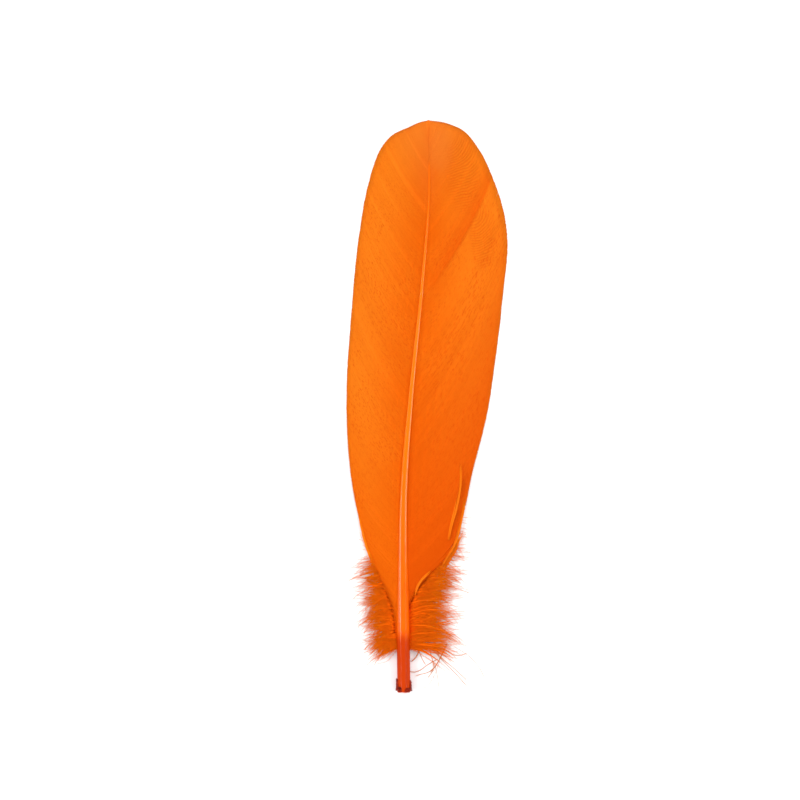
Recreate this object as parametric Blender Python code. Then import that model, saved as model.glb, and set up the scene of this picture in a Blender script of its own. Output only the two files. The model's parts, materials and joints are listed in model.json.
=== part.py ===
"""A goose feather, lying with its hollow side down. It grew as one piece, so it is one object.

The quill runs along Y, from its cut end at -Y to the feather's tip at +Y. Z is up from the surface
that the feather lies on, and the origin is on that surface, under the middle of the feather's length
and width. Run it with: blender --background --python part.py
"""

import math

import bmesh
import bpy
import numpy as np
from mathutils import Vector

MM = 0.001

# Driving dimensions
LENGTH = 170 * MM
WIDTH = 47.9 * MM
QUILL_WIDTH = 3.9 * MM
BOW = 6.8 * MM  # rise of the shaft's middle line over its height at the cut end
VANE_THICKNESS = 0.4 * MM
EDGE_HEIGHT = 0.21 * MM  # of a vane's middle surface, where its edge rests
VANE_BULGE = 0.7 * MM  # each vane swells up beside the shaft before it falls to its edge

# Places on the feather are shares: along, from 0 at the cut end to 1 at the tip, and across, from -1 to
# 1 over its width. The shaft leans, and the right vane is the wider one.
SHAFT_LINE = ((0, -0.288), (0.206, -0.301), (0.353, -0.288), (0.518, -0.2), (0.718, -0.058), (0.865, 0.021),
              (1, 0.018))
LEFT_EDGE = ((0.141, -0.367), (0.225, -0.664), (0.321, -0.877), (0.418, -0.977), (0.529, -1), (0.649, -0.948),
             (0.801, -0.843), (0.887, -0.735), (0.944, -0.61), (0.968, -0.44), (0.986, -0.19), (0.9955, -0.076), (1, 0.018))
RIGHT_EDGE = ((0.141, -0.209), (0.183, 0.05), (0.249, 0.276), (0.371, 0.501), (0.489, 0.752), (0.569, 0.839),
              (0.704, 0.952), (0.785, 1), (0.829, 0.969), (0.892, 0.839), (0.947, 0.656), (0.983, 0.443),
              (0.996, 0.22), (1, 0.018))

# Along, and a share of BOW, of QUILL_WIDTH or of EDGE_HEIGHT
SHAFT_RISE = ((0, 0), (0.035, 0), (0.15, 0.07), (0.3, 0.36), (0.45, 0.73), (0.6, 0.97), (0.7, 1), (0.82, 0.8),
              (0.93, 0.34), (1, -0.1))
SHAFT_WIDTH = ((0, 1), (0.1, 0.98), (0.2, 0.82), (0.35, 0.6), (0.5, 0.43), (0.7, 0.27), (0.85, 0.18), (1, 0.13))
SHAFT_DEPTH = ((0, 1), (0.1, 1), (0.2, 0.93), (0.35, 0.78), (0.5, 0.6), (0.7, 0.4), (0.85, 0.29), (1, 0.23))
EDGE_RISE = ((0.14, 9), (0.25, 5.5), (0.4, 2.6), (0.55, 1.1), (0.65, 1), (0.75, 1), (0.85, 1.4), (0.95, 2), (1, 3))

# The shaft's section
SHAFT_SIDES = 16
SHAFT_STATIONS = 36
SQUARENESS = 3.2  # of the rachis: 2 is an ellipse, and the bare quill is one
SQUARE_FROM = 0.28  # along, where the section has its full squareness
GROOVE = 0.3  # depth of the furrow under the rachis, as a share of half its depth
FLAT_UNTIL = 0.035  # along, as far as the quill's flat underside is on the surface
HOLLOW_WIDTH = 0.64  # of the quill's width
HOLLOW_DEPTH = 5 * MM

# The vanes
VANE_START = 0.141
SHAFT_END = 0.985
VANE_ROWS = 34
VANE_COLUMNS = 7  # on each side of the shaft
VANE_SEAT = 0.12  # height of the vanes over the shaft's middle line, as a share of its depth
DROP_POWER = 1.8
BARB_LEAN = ((0.14, 36), (0.3, 31), (0.55, 28), (0.8, 31), (0.92, 27), (0.97, 15), (1, 0))  # degrees off the shaft
BARB_CURL = 9  # degrees by which a barb leaves the shaft more steeply than its chord
CURL_REACH = 0.45

# Shallow folds that run along the barbs: side, where the barb leaves the shaft, breadth, depth
FOLDS = ((1, 0.69, 0.035, 0.55 * MM), (1, 0.5, 0.05, 0.35 * MM), (-1, 0.42, 0.06, 0.3 * MM))

# The down: tufts on both sides of the shaft below the vanes
DOWN_START = 0.082
DOWN_END = 0.215
TUFTS_A_SIDE = 25
TUFT_WIDTH = 3.2 * MM
TUFT_THICKNESS = 0.9 * MM
TUFT_STATIONS = 6
LOWEST_TUFT = 15.5 * MM
HIGHEST_TUFT = 24 * MM
LEFT_TUFTS = 0.68  # length of the left tufts beside the right ones
# In each layer: lift over the line from root to tip, the tip's height, and how much further round it points
TUFT_LAYERS = ((0.2 * MM, 0.9 * MM, 12), (1.4 * MM, 2 * MM, -10), (2.9 * MM, 3.2 * MM, 2), (0.9 * MM, 4.4 * MM, -16),
               (2.2 * MM, 1.1 * MM, 7))

# Loose barbs along the vanes' lower edges: side, root, how far past the edge, length beside the vane's own barb
LOOSE_BARBS = ((1, 0.15, 1.2 * MM, 1.25), (1, 0.165, 1.5 * MM, 1.12), (1, 0.185, 1.3 * MM, 1.1),
               (1, 0.21, 1.4 * MM, 1.05), (-1, 0.155, 1 * MM, 1.2), (-1, 0.175, 1.1 * MM, 1.1),
               (-1, 0.2, 0.8 * MM, 1.08))
LOOSE_BARB_WIDTH = 1.1 * MM
LOOSE_BARB_THICKNESS = 0.6 * MM

# Dried scraps of sheath at the cut end: across the quill, along, and half sizes
SCRAPS = ((-0.49, 0.014, (0.5 * MM, 2.1 * MM, 0.9 * MM)), (0.5, 0.013, (0.45 * MM, 2 * MM, 0.8 * MM)))


def smooth(points, at):
    """Values at the places `at` of a smooth line through the points (place, value)."""
    x, y = np.array(points, float).T
    slope = np.gradient(y, x)
    at = np.clip(at, x[0], x[-1])
    i = np.clip(np.searchsorted(x, at, side="right") - 1, 0, len(x) - 2)
    h = x[i + 1] - x[i]
    t = (at - x[i]) / h
    return (
        y[i] * (1 + 2 * t) * (1 - t) ** 2
        + slope[i] * h * t * (1 - t) ** 2
        + y[i + 1] * t * t * (3 - 2 * t)
        - slope[i + 1] * h * t * t * (1 - t)
    )


def smooth_outline(points, count=400):
    """(along, across) at `count` places of a smooth line through the points, evenly by its length."""
    points = np.array(points, float)
    steps = np.linalg.norm(np.diff(points * (LENGTH, WIDTH / 2), axis=0), axis=1)
    place = np.concatenate([[0], np.cumsum(steps)])
    at = np.linspace(0, place[-1], count)
    return np.stack([smooth(np.stack([place, column], 1), at) for column in points.T], 1)


def y_of(along):
    return (along - 0.5) * LENGTH


def along_of(y):
    return y / LENGTH + 0.5


def shaft_x(along):
    return smooth(SHAFT_LINE, along) * WIDTH / 2


def shaft_z(along):
    """Height of the shaft's middle line. The cut end's flat underside is on the surface."""
    on_surface = QUILL_WIDTH / 2 * math.cos(math.pi / SHAFT_SIDES)
    return on_surface + BOW * smooth(SHAFT_RISE, along)


def seat_z(along):
    """Height at which the vanes' middle surface meets the shaft's middle."""
    return shaft_z(along) + VANE_SEAT * QUILL_WIDTH * smooth(SHAFT_DEPTH, along)


EDGES = {-1: smooth_outline(LEFT_EDGE), 1: smooth_outline(RIGHT_EDGE)}


def edge_distance(side, along):
    """How far the vane's edge is from the shaft's middle line, straight across."""
    edge = EDGES[side]
    edge_x = np.interp(along, edge[:, 0], edge[:, 1]) * WIDTH / 2
    return np.maximum(side * (edge_x - shaft_x(along)), 0.5 * MM)


def vane_z(side, root, x, y):
    """Height of the vane's middle surface at x, y, on the barb that leaves the shaft at `root`."""
    along = np.clip(along_of(y), 0, 1)
    out = np.clip(side * (x - shaft_x(along)) / edge_distance(side, along), 0, 1)
    seat = seat_z(along)
    edge = EDGE_HEIGHT * smooth(EDGE_RISE, along)
    height = seat + (edge - seat) * out**DROP_POWER
    narrow = np.clip((1 - along) / 0.2, 0, 1) * np.clip((along - VANE_START) / 0.1, 0, 1)
    height += VANE_BULGE * narrow * np.sin(math.pi * out) * (1 - out / 2)
    for fold_side, fold_root, breadth, depth in FOLDS:
        if fold_side == side:
            height -= depth * np.exp(-(((root - fold_root) / breadth) ** 2)) * np.sin(math.pi * out)
    return height


def barb(side, root, places, past_edge=0.0, stretch=1.0):
    """Points of the barb that leaves the shaft at `root`, at the shares `places` of its way to the edge."""
    start = np.array([shaft_x(root), y_of(root)])
    lean = math.radians(smooth(BARB_LEAN, root))
    edge = EDGES[side][:, ::-1] * (WIDTH / 2, LENGTH) - (0, LENGTH / 2)
    away = edge - start
    leans = np.arctan2(side * away[:, 0], away[:, 1])
    order = np.argsort(leans)
    end = np.array([np.interp(lean, leans[order], edge[order, i]) for i in (0, 1)])
    chord = (end - start) * stretch
    reach = np.linalg.norm(chord)
    across = np.array([chord[1], -chord[0]]) / max(reach, 1e-9) * side
    end = start + chord + across * past_edge
    curl = math.radians(BARB_CURL) * min(1, lean / 0.3)
    steep = lean + curl
    bend = start + CURL_REACH * reach * np.array([side * math.sin(steep), math.cos(steep)])
    t = np.array(places)[:, None]
    plan = start * (1 - t) ** 2 + 2 * bend * t * (1 - t) + end * t**2
    height = vane_z(side, root, plan[:, 0], plan[:, 1])
    return np.column_stack([plan, height])


def link(name, mesh_data):
    """A new object in the scene that holds the bmesh."""
    mesh = bpy.data.meshes.new(name)
    bmesh.ops.recalc_face_normals(mesh_data, faces=mesh_data.faces)
    mesh_data.to_mesh(mesh)
    mesh_data.free()
    made = bpy.data.objects.new(name, mesh)
    bpy.context.scene.collection.objects.link(made)
    return made


def loft(rings, start_point=None, end_point=None):
    """A bmesh of quads between rings of equally many points, closed by a face or a point at each end."""
    bm = bmesh.new()
    loops = [[bm.verts.new(p) for p in ring] for ring in rings]
    for low, high in zip(loops, loops[1:]):
        for i in range(len(low)):
            j = (i + 1) % len(low)
            bm.faces.new((low[i], low[j], high[j], high[i]))
    for loop, point in ((loops[0], start_point), (loops[-1], end_point)):
        if point is None:
            bm.faces.new(loop)
            continue
        tip = bm.verts.new(point)
        for i in range(len(loop)):
            bm.faces.new((loop[i], loop[(i + 1) % len(loop)], tip))
    return bm


def shaft_ring(along, size=1.0, sink=0.0):
    """The shaft's section at `along`, scaled by `size` and moved `sink` up the shaft."""
    squared = min(1, max(0, (along - DOWN_START) / (SQUARE_FROM - DOWN_START)))
    power = 2 / (2 + (SQUARENESS - 2) * squared)
    half_width = QUILL_WIDTH / 2 * smooth(SHAFT_WIDTH, along) * size
    half_depth = QUILL_WIDTH / 2 * smooth(SHAFT_DEPTH, along) * size
    middle = Vector((shaft_x(along), y_of(along) + sink, shaft_z(along)))
    ring = []
    for k in range(SHAFT_SIDES):
        turn = 2 * math.pi * (k + 0.5) / SHAFT_SIDES
        c, s = math.cos(turn), math.sin(turn)
        x = half_width * math.copysign(abs(c) ** power, c)
        z = half_depth * math.copysign(abs(s) ** power, s)
        under = s < 0 and abs(c) < math.sin(1.5 * math.pi / SHAFT_SIDES)
        if under:
            z *= 1 - GROOVE * squared
        ring.append(middle + Vector((x, 0, z)))
    return ring


def make_shaft():
    """The quill, from its hollow cut end, and the rachis that it becomes between the vanes."""
    stations = [SHAFT_END * (k / (SHAFT_STATIONS - 1)) ** 0.93 for k in range(SHAFT_STATIONS)]
    stations[1] = FLAT_UNTIL
    rings = [shaft_ring(0, HOLLOW_WIDTH, HOLLOW_DEPTH), shaft_ring(0, HOLLOW_WIDTH)]
    rings += [shaft_ring(along) for along in stations]
    return link("feather", loft(rings))


def make_vanes():
    """Both vanes as one thin curved sheet, whose rows are barbs that leave the shaft to left and right."""
    bm = bmesh.new()
    places = np.linspace(0, 1, VANE_COLUMNS + 1)
    rows = []
    for k in range(VANE_ROWS):
        root = VANE_START + (1 - VANE_START) * (k / (VANE_ROWS - 1)) ** 0.9
        left = barb(-1, root, places[:0:-1])
        right = barb(1, root, places)
        rows.append([bm.verts.new(p) for p in np.concatenate([left, right])])
    for low, high in zip(rows, rows[1:]):
        for i in range(len(low) - 1):
            bm.faces.new((low[i], low[i + 1], high[i + 1], high[i]))
    bmesh.ops.remove_doubles(bm, verts=bm.verts, dist=0.05 * MM)
    vanes = link("vanes", bm)
    wall = vanes.modifiers.new("wall", "SOLIDIFY")
    wall.thickness = VANE_THICKNESS
    wall.offset = 0
    return vanes


def blade(name, path, width, thickness):
    """A tuft: a flat pointed blade along the path, widest before its middle."""
    path = np.array(path)
    ways = np.gradient(path, axis=0)
    rings = []
    for k, (point, way) in enumerate(zip(path[:-1], ways[:-1])):
        t = k / (len(path) - 1)
        swell = (0.45 + 1.1 * t) if t < 0.5 else 1 - 0.55 * (2 * t - 1) ** 1.5
        sideways = np.array([way[1], -way[0], 0])
        sideways *= width / 2 * swell / max(np.linalg.norm(sideways), 1e-9)
        upward = np.array([0, 0, thickness / 2 * swell])
        rings.append([point + sideways, point + upward, point - sideways, point - upward])
    return link(name, loft(rings, end_point=path[-1]))


def tuft_path(side, number):
    """Points of a tuft's middle line. The low ones spread straight out, and the high ones curl over."""
    share = number / (TUFTS_A_SIDE - 1)
    sway = math.sin(2.4 * number + side)
    root = DOWN_START + (DOWN_END - DOWN_START) * share
    length = (LOWEST_TUFT + (HIGHEST_TUFT - LOWEST_TUFT) * share) * (1 + 0.14 * sway)
    length *= LEFT_TUFTS if side < 0 else 1
    lift, tip_height, round_by = TUFT_LAYERS[(number + (side > 0)) % len(TUFT_LAYERS)]
    first_way = math.radians(100 - 58 * share + round_by)
    turn = math.radians(26 + 34 * share - 16 * sway)
    point = np.array([shaft_x(root), y_of(root), shaft_z(root)])
    start_height = point[2]
    path = [point.copy()]
    for k in range(1, TUFT_STATIONS + 1):
        t = k / TUFT_STATIONS
        way = first_way + turn * t**1.3
        point += length / TUFT_STATIONS * np.array([side * math.sin(way), math.cos(way), 0])
        point[2] = start_height + (tip_height - start_height) * t + lift * math.sin(math.pi * t)
        path.append(point.copy())
    return path


def make_down():
    """The tufts of down and the loose barbs above them, one pointed blade each."""
    tufts = []
    for side in (-1, 1):
        for number in range(TUFTS_A_SIDE):
            path = tuft_path(side, number)
            tufts.append(blade(f"tuft_{len(tufts)}", path, TUFT_WIDTH, TUFT_THICKNESS))
    places = np.linspace(0, 1, TUFT_STATIONS + 2)
    for side, root, past_edge, stretch in LOOSE_BARBS:
        path = barb(side, root, places, past_edge, stretch)
        path[:, 2] += LOOSE_BARB_THICKNESS / 4
        tufts.append(blade(f"tuft_{len(tufts)}", path, LOOSE_BARB_WIDTH, LOOSE_BARB_THICKNESS))
    return tufts


def make_scraps():
    """What is left of the dried sheath at the quill's cut end."""
    scraps = []
    for across, along, size in SCRAPS:
        bm = bmesh.new()
        bmesh.ops.create_icosphere(bm, subdivisions=1, radius=1)
        middle = Vector((shaft_x(along) + across * QUILL_WIDTH, y_of(along), shaft_z(along)))
        for v in bm.verts:
            v.co = Vector([c * s for c, s in zip(v.co, size)]) + middle
        scraps.append(link(f"scrap_{len(scraps)}", bm))
    return scraps


def grow_together(stem, pieces):
    """Joins the pieces to the stem as one closed body."""
    grown = bpy.data.collections.new("grown on the shaft")
    bpy.context.scene.collection.children.link(grown)
    for piece in pieces:
        bpy.context.scene.collection.objects.unlink(piece)
        grown.objects.link(piece)
        piece.hide_render = True
        piece.display_type = "WIRE"
    joined = stem.modifiers.new("joined", "BOOLEAN")
    joined.operation = "UNION"
    joined.operand_type = "COLLECTION"
    joined.collection = grown
    joined.solver = "EXACT"


def feather_material():
    """Dyed orange keratin, with a soft sheen."""
    material = bpy.data.materials.new("dyed_feather")
    material.use_nodes = True
    shader = material.node_tree.nodes["Principled BSDF"]
    shader.inputs["Base Color"].default_value = (1.0, 0.17, 0.006, 1)
    shader.inputs["Roughness"].default_value = 0.55
    shader.inputs["Metallic"].default_value = 0
    return material


def main():
    for old in list(bpy.data.objects):
        bpy.data.objects.remove(old)
    feather = make_shaft()
    grow_together(feather, [make_vanes(), *make_down(), *make_scraps()])
    feather.data.materials.append(feather_material())
    feather.data.shade_smooth()
    feather.data.set_sharp_from_angle(angle=math.radians(40))


main()
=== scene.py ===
# %% [markdown]
# # A goose feather, lying on a table
#
# A flight feather is one piece of keratin with four looks. The quill is bare, glossy horn. Between the
# vanes it goes on as the rachis, which tapers to nothing at the tip. Each vane is a row of some hundreds
# of fine barbs that lie like roof shingles and hook into each other. At the base the barbs have no hooks,
# so they float free as down. This notebook makes each of them as real geometry, because from a hand's
# width away a feather is read by its fine lines, its split edge and its fluff.
#
# The solid model of the feather comes first, as a frame that gives the size and the place.

import json
import math

import bpy
import numpy as np
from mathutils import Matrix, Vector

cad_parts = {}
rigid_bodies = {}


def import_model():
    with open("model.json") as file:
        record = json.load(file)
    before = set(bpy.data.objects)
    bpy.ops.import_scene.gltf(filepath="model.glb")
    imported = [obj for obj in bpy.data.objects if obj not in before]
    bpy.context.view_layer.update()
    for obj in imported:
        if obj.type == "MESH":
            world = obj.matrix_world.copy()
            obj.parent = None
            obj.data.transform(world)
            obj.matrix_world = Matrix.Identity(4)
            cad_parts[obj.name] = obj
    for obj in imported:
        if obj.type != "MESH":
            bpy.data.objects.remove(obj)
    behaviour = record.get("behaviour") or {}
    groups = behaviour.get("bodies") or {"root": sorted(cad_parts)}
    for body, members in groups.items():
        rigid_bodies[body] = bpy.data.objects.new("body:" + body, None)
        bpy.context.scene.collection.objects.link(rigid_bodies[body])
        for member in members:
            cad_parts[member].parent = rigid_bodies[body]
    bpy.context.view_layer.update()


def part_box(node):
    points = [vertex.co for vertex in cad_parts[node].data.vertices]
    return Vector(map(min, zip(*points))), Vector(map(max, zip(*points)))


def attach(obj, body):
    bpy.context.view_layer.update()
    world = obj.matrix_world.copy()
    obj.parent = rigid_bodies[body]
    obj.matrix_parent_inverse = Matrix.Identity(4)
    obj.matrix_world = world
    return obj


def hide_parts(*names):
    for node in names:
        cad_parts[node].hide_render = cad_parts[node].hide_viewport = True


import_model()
for piece in list(bpy.data.objects):
    piece.select_set(False)

MM = 0.001
low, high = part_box("feather")
LENGTH = high.y - low.y
WIDTH = 47.9 * MM
print("feather, in mm:", [round(side / MM, 1) for side in high - low])

# %% [markdown]
# ## The lines that everything follows
#
# A feather is drawn by three lines: the shaft, the left edge and the right edge. All its barbs start on
# the first and end on one of the others, so these lines are written once, as a few points with a smooth
# curve through them. Places are shares: `along`, from 0 at the quill's cut end to 1 at the tip, and
# `across`, from -1 to 1 over the width of both vanes.

# %% Smooth lines through a few points
SHAFT_LINE = ((0, -0.288), (0.206, -0.301), (0.353, -0.288), (0.518, -0.2), (0.718, -0.058),
              (0.865, 0.021), (1, 0.018))
LEFT_EDGE = ((0.117, -0.405), (0.15, -0.455), (0.18, -0.535), (0.225, -0.672), (0.321, -0.877),
             (0.418, -0.977), (0.529, -1), (0.649, -0.948), (0.801, -0.843), (0.887, -0.733),
             (0.928, -0.647), (0.95, -0.578), (0.975, -0.424), (0.988, -0.23), (0.9965, -0.095), (1, 0.018))
RIGHT_EDGE = ((0.15, -0.22), (0.168, -0.15), (0.197, 0), (0.222, 0.19), (0.249, 0.33), (0.288, 0.415),
              (0.336, 0.495), (0.371, 0.545), (0.489, 0.752), (0.569, 0.839), (0.704, 0.952), (0.785, 1),
              (0.829, 0.969), (0.892, 0.839), (0.947, 0.656), (0.983, 0.443), (0.996, 0.22), (1, 0.018))
EDGE_POINTS = 400


def smooth(points, at):
    """Values at the places `at` of a smooth line through the points (place, value)."""
    x, y = np.array(points, float).T
    slope = np.gradient(y, x)
    at = np.clip(at, x[0], x[-1])
    i = np.clip(np.searchsorted(x, at, side="right") - 1, 0, len(x) - 2)
    h = x[i + 1] - x[i]
    t = (at - x[i]) / h
    return (
        y[i] * (1 + 2 * t) * (1 - t) ** 2
        + slope[i] * h * t * (1 - t) ** 2
        + y[i + 1] * t * t * (3 - 2 * t)
        - slope[i + 1] * h * t * t * (1 - t)
    )


def evenly(points, scale, count):
    """The points' columns at `count` places of a smooth line through them, evenly by its scaled length."""
    points = np.array(points, float)
    steps = np.linalg.norm(np.diff(points * scale, axis=0), axis=1)
    place = np.concatenate([[0], np.cumsum(steps)])
    at = np.linspace(0, place[-1], count)
    return [smooth(np.stack([place, column], 1), at) for column in points.T]


def smooth_outline(points):
    """(x, y) of a smooth line through the points (along, across)."""
    along, across = evenly(points, (LENGTH, WIDTH / 2), EDGE_POINTS)
    return np.stack([across * WIDTH / 2, y_of(along)], 1)


def y_of(along):
    return (along - 0.5) * LENGTH


def along_of(y):
    return y / LENGTH + 0.5


def shaft_x(along):
    return smooth(SHAFT_LINE, along) * WIDTH / 2


def edge_x(side, y):
    return np.interp(y, EDGES[side][:, 1], EDGES[side][:, 0])


EDGES = {-1: smooth_outline(LEFT_EDGE), 1: smooth_outline(RIGHT_EDGE)}
EDGE_STEPS = {side: np.linalg.norm(np.diff(edge, axis=0), axis=1).mean() for side, edge in EDGES.items()}
for side, edge in EDGES.items():
    print("left" if side < 0 else "right", "edge reaches", round(abs(edge[:, 0]).max() / MM, 1), "mm")

# %% [markdown]
# ## Bow and cup
#
# Lying on its hollow side, the feather bows along its length and each vane falls from the shaft to its
# edge. Heights are formulas of the same two shares, so barbs, shaft and down all meet without fitting.

# %% Heights of the shaft and of the vanes
QUILL_WIDTH = 3.9 * MM
BOW = 6.8 * MM
QUILL_LIES = 0.98  # height of the bare quill's middle, in radii: its underside is pressed flat
VANE_BULGE = 0.7 * MM
BULGE_TO_TIP, BULGE_FROM_BASE = 0.2, 0.1  # over these shares of the length the bulge fades out
EDGE_HEIGHT = 0.21 * MM
NARROWEST_VANE = 0.5 * MM
VANE_STARTS = {-1: 0.112, 1: 0.15}
DROP_POWER = 1.8
SHAFT_RISE = ((0, 0), (0.035, 0), (0.15, 0.07), (0.3, 0.36), (0.45, 0.73), (0.6, 0.97), (0.7, 1),
              (0.82, 0.8), (0.93, 0.34), (1, -0.1))
SHAFT_WIDTH = ((0, 1), (0.1, 0.98), (0.2, 0.82), (0.35, 0.6), (0.5, 0.43), (0.7, 0.27), (0.85, 0.18),
               (1, 0.13))
SHAFT_DEPTH = ((0, 1), (0.1, 1), (0.2, 0.93), (0.35, 0.78), (0.5, 0.6), (0.7, 0.4), (0.85, 0.29), (1, 0.23))
# Height of the vanes' seat on the shaft over its middle, as a share of its depth
VANE_SEATS = ((0.1, 0.24), (0.35, 0.27), (0.6, 0.33), (0.76, 0.36), (0.88, 0.4), (0.95, 0.5), (1, 0.6))
# Height of the vanes' edges over the table, in EDGE_HEIGHTs
EDGE_RISE = ((0.14, 7), (0.25, 4.8), (0.4, 2.6), (0.55, 1.1), (0.65, 1), (0.75, 1), (0.85, 1.4), (0.95, 2),
             (1, 3))
# Shallow folds that run along the barbs: side, where the barb leaves the shaft, breadth towards the
# quill and towards the tip, depth
FOLDS = ((1, 0.69, 0.012, 0.055, 0.9 * MM), (1, 0.5, 0.03, 0.06, 0.4 * MM), (-1, 0.42, 0.06, 0.05, 0.3 * MM))


def shaft_z(along):
    return QUILL_LIES * QUILL_WIDTH / 2 + BOW * smooth(SHAFT_RISE, along)


def vane_z(side, root, x, y):
    """Height of a vane at x, y, on the barb that leaves the shaft at `root`."""
    along = np.clip(along_of(y), 0, 1)
    across = np.maximum(side * (edge_x(side, y) - shaft_x(along)), NARROWEST_VANE)
    out = np.clip(side * (x - shaft_x(along)) / across, 0, 1)
    seat = shaft_z(along) + smooth(VANE_SEATS, along) * QUILL_WIDTH * smooth(SHAFT_DEPTH, along)
    edge = EDGE_HEIGHT * smooth(EDGE_RISE, along)
    bulge = np.clip((1 - along) / BULGE_TO_TIP, 0, 1)
    bulge = bulge * np.clip((along - VANE_STARTS[side]) / BULGE_FROM_BASE, 0, 1)
    height = seat + (edge - seat) * out**DROP_POWER
    height = height + VANE_BULGE * bulge * np.sin(math.pi * out) * (1 - out / 2)
    for fold_side, fold_root, below, above, depth in FOLDS:
        if fold_side == side:
            apart = (root - fold_root) / (above if root > fold_root else below)
            height = height - depth * math.exp(-(apart**2)) * np.sin(math.pi * out)
    return height


print("top of the bow, in mm:", round(float(shaft_z(0.7)) / MM, 1))

# %% [markdown]
# ## The quill and the rachis
#
# The shaft is one long tapering rod: round where it is bare, rounded square between the vanes, with a
# furrow along its underside. A curve with a bevel would taper, but it keeps one section from end to end.
# So a circle is extruded ring by ring in edit mode, and each ring gets the section that belongs there.

# %% Extrude the shaft ring by ring
SHAFT_SIDES = 28
SHAFT_RINGS = 90
SHAFT_END = 0.985
RING_POWER = 0.95  # under 1, so the rings stand closer towards the tip
SQUARENESS = 3.2
ROUND_UNTIL = 0.082
SQUARE_FROM = 0.28
FURROW_DEPTH, FURROW_BREADTH = 0.3, 0.3  # in half depths and half widths of the shaft
FLAT_UNTIL = 0.0525
CREASE = math.radians(50)


def deselect_all():
    if bpy.context.mode != "OBJECT":
        bpy.ops.object.mode_set(mode="OBJECT")
    bpy.ops.object.select_all(action="DESELECT")


def turn_outwards():
    """Turns all faces of the mesh in edit mode outwards, and leaves edit mode."""
    bpy.ops.mesh.select_all(action="SELECT")
    bpy.ops.mesh.normals_make_consistent(inside=False)
    bpy.ops.object.mode_set(mode="OBJECT")


deselect_all()
bpy.ops.mesh.primitive_circle_add(
    vertices=SHAFT_SIDES,
    radius=QUILL_WIDTH / 2,
    fill_type="NGON",
    location=(float(shaft_x(0)), y_of(0), float(shaft_z(0))),
    rotation=(math.pi / 2, 0, 0),
)
shaft = bpy.context.object
shaft.name = "quill_and_rachis"
bpy.ops.object.transform_apply(location=True, rotation=True, scale=True)
bpy.ops.object.mode_set(mode="EDIT")
bpy.ops.mesh.select_all(action="SELECT")
rings = SHAFT_END * np.linspace(0, 1, SHAFT_RINGS) ** RING_POWER
for before, here in zip(rings, rings[1:]):
    step = (
        float(shaft_x(here) - shaft_x(before)),
        float(y_of(here) - y_of(before)),
        float(shaft_z(here) - shaft_z(before)),
    )
    bpy.ops.mesh.extrude_region_move(TRANSFORM_OT_translate={"value": step})
turn_outwards()
print("shaft:", len(shaft.data.vertices), "points in", SHAFT_RINGS, "rings")

# %% Give each ring its own section
FLAT_SHARE = math.cos(math.pi / 16)  # the quill's underside is pressed flat this far from its middle


def shaft_section(along, turn):
    """(across, up) from the shaft's middle to its skin, in the direction `turn`."""
    squared = min(1, max(0, (along - ROUND_UNTIL) / (SQUARE_FROM - ROUND_UNTIL)))
    power = 2 / (2 + (SQUARENESS - 2) * squared)
    c, s = math.cos(turn), math.sin(turn)
    half_width = QUILL_WIDTH / 2 * float(smooth(SHAFT_WIDTH, along))
    half_depth = QUILL_WIDTH / 2 * float(smooth(SHAFT_DEPTH, along))
    across = half_width * math.copysign(abs(c) ** power, c)
    up = half_depth * math.copysign(abs(s) ** power, s)
    if s < 0:
        up *= 1 - FURROW_DEPTH * squared * math.exp(-((c / FURROW_BREADTH) ** 2))
    if along <= FLAT_UNTIL:
        up = max(up, -FLAT_SHARE * half_depth)
    return across, up


share_across = shaft.data.attributes.new("across", "FLOAT", "POINT")  # -1 at the left flank, 1 at the right
for vert in shaft.data.vertices:
    along = along_of(vert.co.y)
    middle = (float(shaft_x(along)), float(shaft_z(along)))
    turn = math.atan2(vert.co.z - middle[1], vert.co.x - middle[0])
    across, up = shaft_section(along, turn)
    vert.co.x = middle[0] + across
    vert.co.z = middle[1] + up
    share_across.data[vert.index].value = math.cos(turn)
print("rachis at mid-length, in mm across:", round(2 * shaft_section(0.5, 0)[0] / MM, 2))

# %% [markdown]
# ## The cut end of the quill
#
# The quill is a tube that was cut square and left a little torn. The end face is inset to give the wall
# and pushed inwards for the hollow, and the rim's points are then moved at random along the quill.

# %% Hollow and tear the cut end
QUILL_WALL = 0.62 * MM
HOLLOW_DEPTH = 5 * MM
RIM_DEPTH = 0.01 * MM
TEAR = 0.3 * MM
bpy.ops.object.mode_set(mode="EDIT")
bpy.ops.mesh.select_mode(type="FACE")
bpy.ops.mesh.select_all(action="DESELECT")
bpy.ops.object.mode_set(mode="OBJECT")
for face in shaft.data.polygons:
    face.select = face.normal.y < 0 and len(face.vertices) == SHAFT_SIDES
bpy.ops.object.mode_set(mode="EDIT")
bpy.ops.mesh.inset(thickness=QUILL_WALL)
bpy.ops.mesh.extrude_region_move(TRANSFORM_OT_translate={"value": (0, HOLLOW_DEPTH, 0)})
bpy.ops.object.mode_set(mode="OBJECT")
draw = np.random.default_rng(7)
rim_y = min(vert.co.y for vert in shaft.data.vertices)
for vert in shaft.data.vertices:
    if vert.co.y < rim_y + RIM_DEPTH:
        vert.co.y += TEAR * draw.random() ** 2
bpy.ops.object.shade_smooth_by_angle(angle=CREASE)
print("hollow goes in", HOLLOW_DEPTH / MM, "mm")

# %% [markdown]
# ## Four small models, copied many times
#
# Every hair-like piece below is a copy of one of four small models, bent along its own line: a barb, a
# flat strip of down, a thread of down and a barbule. Particles or hair curves would be quicker to make,
# but they don't travel in an exported mesh. So each model is made once, standing along Y at unit size,
# and a function writes all its copies into one mesh. Copies have few faces, as there are so many.

# %% Model a barb, a strip, a thread and a barbule
BARB_STATIONS = 13
THREAD_STATIONS = 12


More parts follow.
